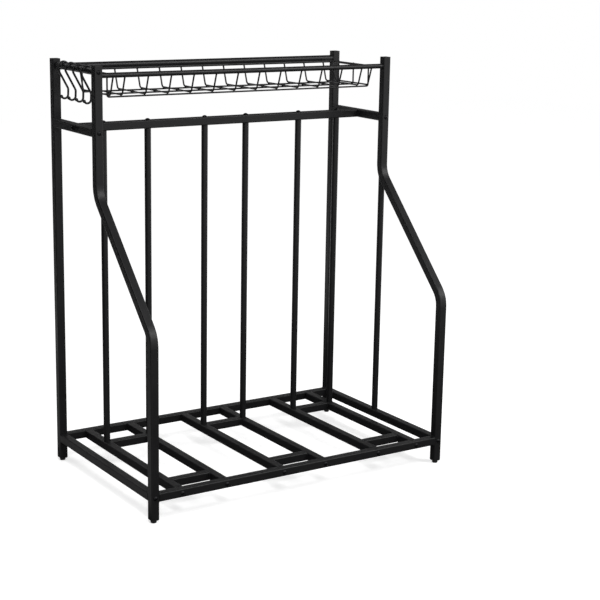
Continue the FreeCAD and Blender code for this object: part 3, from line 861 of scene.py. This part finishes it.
@dataclass
class Studio:
    """A white room with soft light and the camera at the photograph's angle.

    Places are in metres, angles in degrees, and the lens and the sensor in millimetres.
    """

    eye: Triple = (-1.87, -3.0558, 1.2688)
    yaw: float = -33.3857
    pitch: float = 13.3349
    roll: float = 1.0667
    lens: float = 89.64
    sensor: float = 36.0
    floor_size: float = 14.0
    floor_white: float = 0.8
    floor_glow: float = 0.55
    air_white: float = 1.0
    air_light: float = 0.55
    lamp_aim: Triple = (0.0, 0.0, 0.5)
    lamps: tuple[Lamp, ...] = (
        Lamp("key_lamp", (1.9, -2.6, 2.6), 1.7, 70.0),
        Lamp("edge_lamp", (-0.95, -1.22, 2.35), 0.5, 18.0),
    )
    flags: tuple[Flag, ...] = (
        Flag("left_flag", (-0.95, 1.2, 1.0), (2.0, 3.3), (0.0, 90.0, 0.0), 0.0),
        Flag("rear_flag", (1.95, 3.0, 1.9), (3.6, 2.7), (90.0, 0.0, 0.0), 0.13),
        Flag("floor_flag", (0.775, -0.6, 0.004), (2.45, 3.6), (0.0, 0.0, 0.0), 0.04),
        Flag("left_floor_flag", (-1.425, -0.6, 0.004), (1.95, 3.6), (0.0, 0.0, 0.0), 0.33),
        Flag("top_flag", (0.0, 0.55, 2.4), (5.0, 2.9), (180.0, 0.0, 0.0), 0.12),
    )

    def build(self) -> None:
        """Set the floor, the world, the lamps, the flags and the camera."""
        self._floor()
        self._world()
        for lamp in self.lamps:
            self._hang(lamp)
        for flag in self.flags:
            self._stand(flag)
        self._camera()
        bpy.context.scene.view_settings.view_transform = "Standard"

    def _floor(self) -> None:
        """Lay a white floor that keeps the rack's shadow."""
        bpy.ops.object.select_all(action="DESELECT")
        bpy.ops.mesh.primitive_plane_add(size=self.floor_size)
        floor = bpy.context.object
        floor.name = "studio_floor"
        material, graph = new_graph("white_floor")
        diffuse = graph.node("ShaderNodeBsdfDiffuse", {"Color": grey(self.floor_white)})
        glow = graph.node("ShaderNodeEmission", {"Strength": graph.seen() * self.floor_glow})
        both = graph.node("ShaderNodeAddShader", {0: diffuse, 1: glow})
        graph.node("ShaderNodeOutputMaterial", {"Surface": both})
        floor.data.materials.append(material)

    def _world(self) -> None:
        """Make the air white to the camera and in reflections, and a softer grey as light."""
        world = bpy.data.worlds.new("white_room")
        world.use_nodes = True
        bpy.context.scene.world = world
        graph = Graph(world.node_tree)
        strength = self.air_light + graph.seen() * (self.air_white - self.air_light)
        air = graph.node("ShaderNodeBackground", {"Color": grey(self.air_white), "Strength": strength})
        graph.node("ShaderNodeOutputWorld", {"Surface": air})

    def _hang(self, lamp: Lamp) -> None:
        """Hang a lamp that points at the rack.

        Args:
            lamp: The lamp's place, size and power.
        """
        light = bpy.data.lights.new(lamp.name, "AREA")
        light.size = lamp.size
        light.energy = lamp.power
        holder = bpy.data.objects.new(lamp.name, light)
        bpy.context.scene.collection.objects.link(holder)
        holder.location = lamp.place
        holder.rotation_mode = "QUATERNION"
        holder.rotation_quaternion = (Vector(self.lamp_aim) - Vector(lamp.place)).to_track_quat("-Z", "Y")

    @staticmethod
    def _stand(flag: Flag) -> None:
        """Stand a dark card that only reflections see, as a photographer shades a black product.

        Args:
            flag: The card's place, size, turn and level.
        """
        bpy.ops.object.select_all(action="DESELECT")
        bpy.ops.mesh.primitive_plane_add(size=1.0, location=flag.place,
                                         rotation=[math.radians(angle) for angle in flag.turn])
        card = bpy.context.object
        card.name = flag.name
        card.scale = (*flag.size, 1.0)
        bpy.ops.object.transform_apply(location=True, rotation=True, scale=True)
        material, graph = new_graph(flag.name)
        shade = graph.node("ShaderNodeEmission", {"Color": grey(flag.level)})
        graph.node("ShaderNodeOutputMaterial", {"Surface": shade})
        card.data.materials.append(material)
        card.visible_camera = False
        card.visible_diffuse = False
        card.visible_transmission = False
        card.visible_shadow = False

    def _camera(self) -> None:
        """Stand the camera at the photograph's viewing angle."""
        yaw, pitch, roll = (math.radians(angle) for angle in (self.yaw, self.pitch, self.roll))
        ahead = Vector((-math.sin(yaw), math.cos(yaw), 0.0))
        forward = math.cos(pitch) * ahead - math.sin(pitch) * Axis.Z.value
        level = Vector((math.cos(yaw), math.sin(yaw), 0.0))
        upright = level.cross(forward)
        right = math.cos(roll) * level + math.sin(roll) * upright
        up = math.cos(roll) * upright - math.sin(roll) * level
        camera = bpy.data.cameras.new("studio_camera")
        camera.lens = self.lens
        camera.sensor_width = self.sensor
        holder = bpy.data.objects.new("studio_camera", camera)
        bpy.context.scene.collection.objects.link(holder)
        turn = Matrix((right, up, -forward)).transposed().to_4x4()
        holder.matrix_world = Matrix.Translation(self.eye) @ turn
        bpy.context.scene.camera = holder


def main() -> None:
    """Load the frame, build and dress each sub-assembly and set the studio."""
    logging.basicConfig(level=logging.INFO, format="%(message)s")
    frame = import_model()
    slots = {row["node"]: Slot(row["material_slot"]) for row in frame["record"]["subparts"]}
    shop = Workshop(frame["nodes"], slots, Finishes())
    for kind in (TubeFrame, WheelSlots, WireBasket, HookRow, FeetAndCaps, Bolts):
        group = kind(shop)
        group.build()
        group.dress()
    Studio().build()


if __name__ == "__main__":
    main()
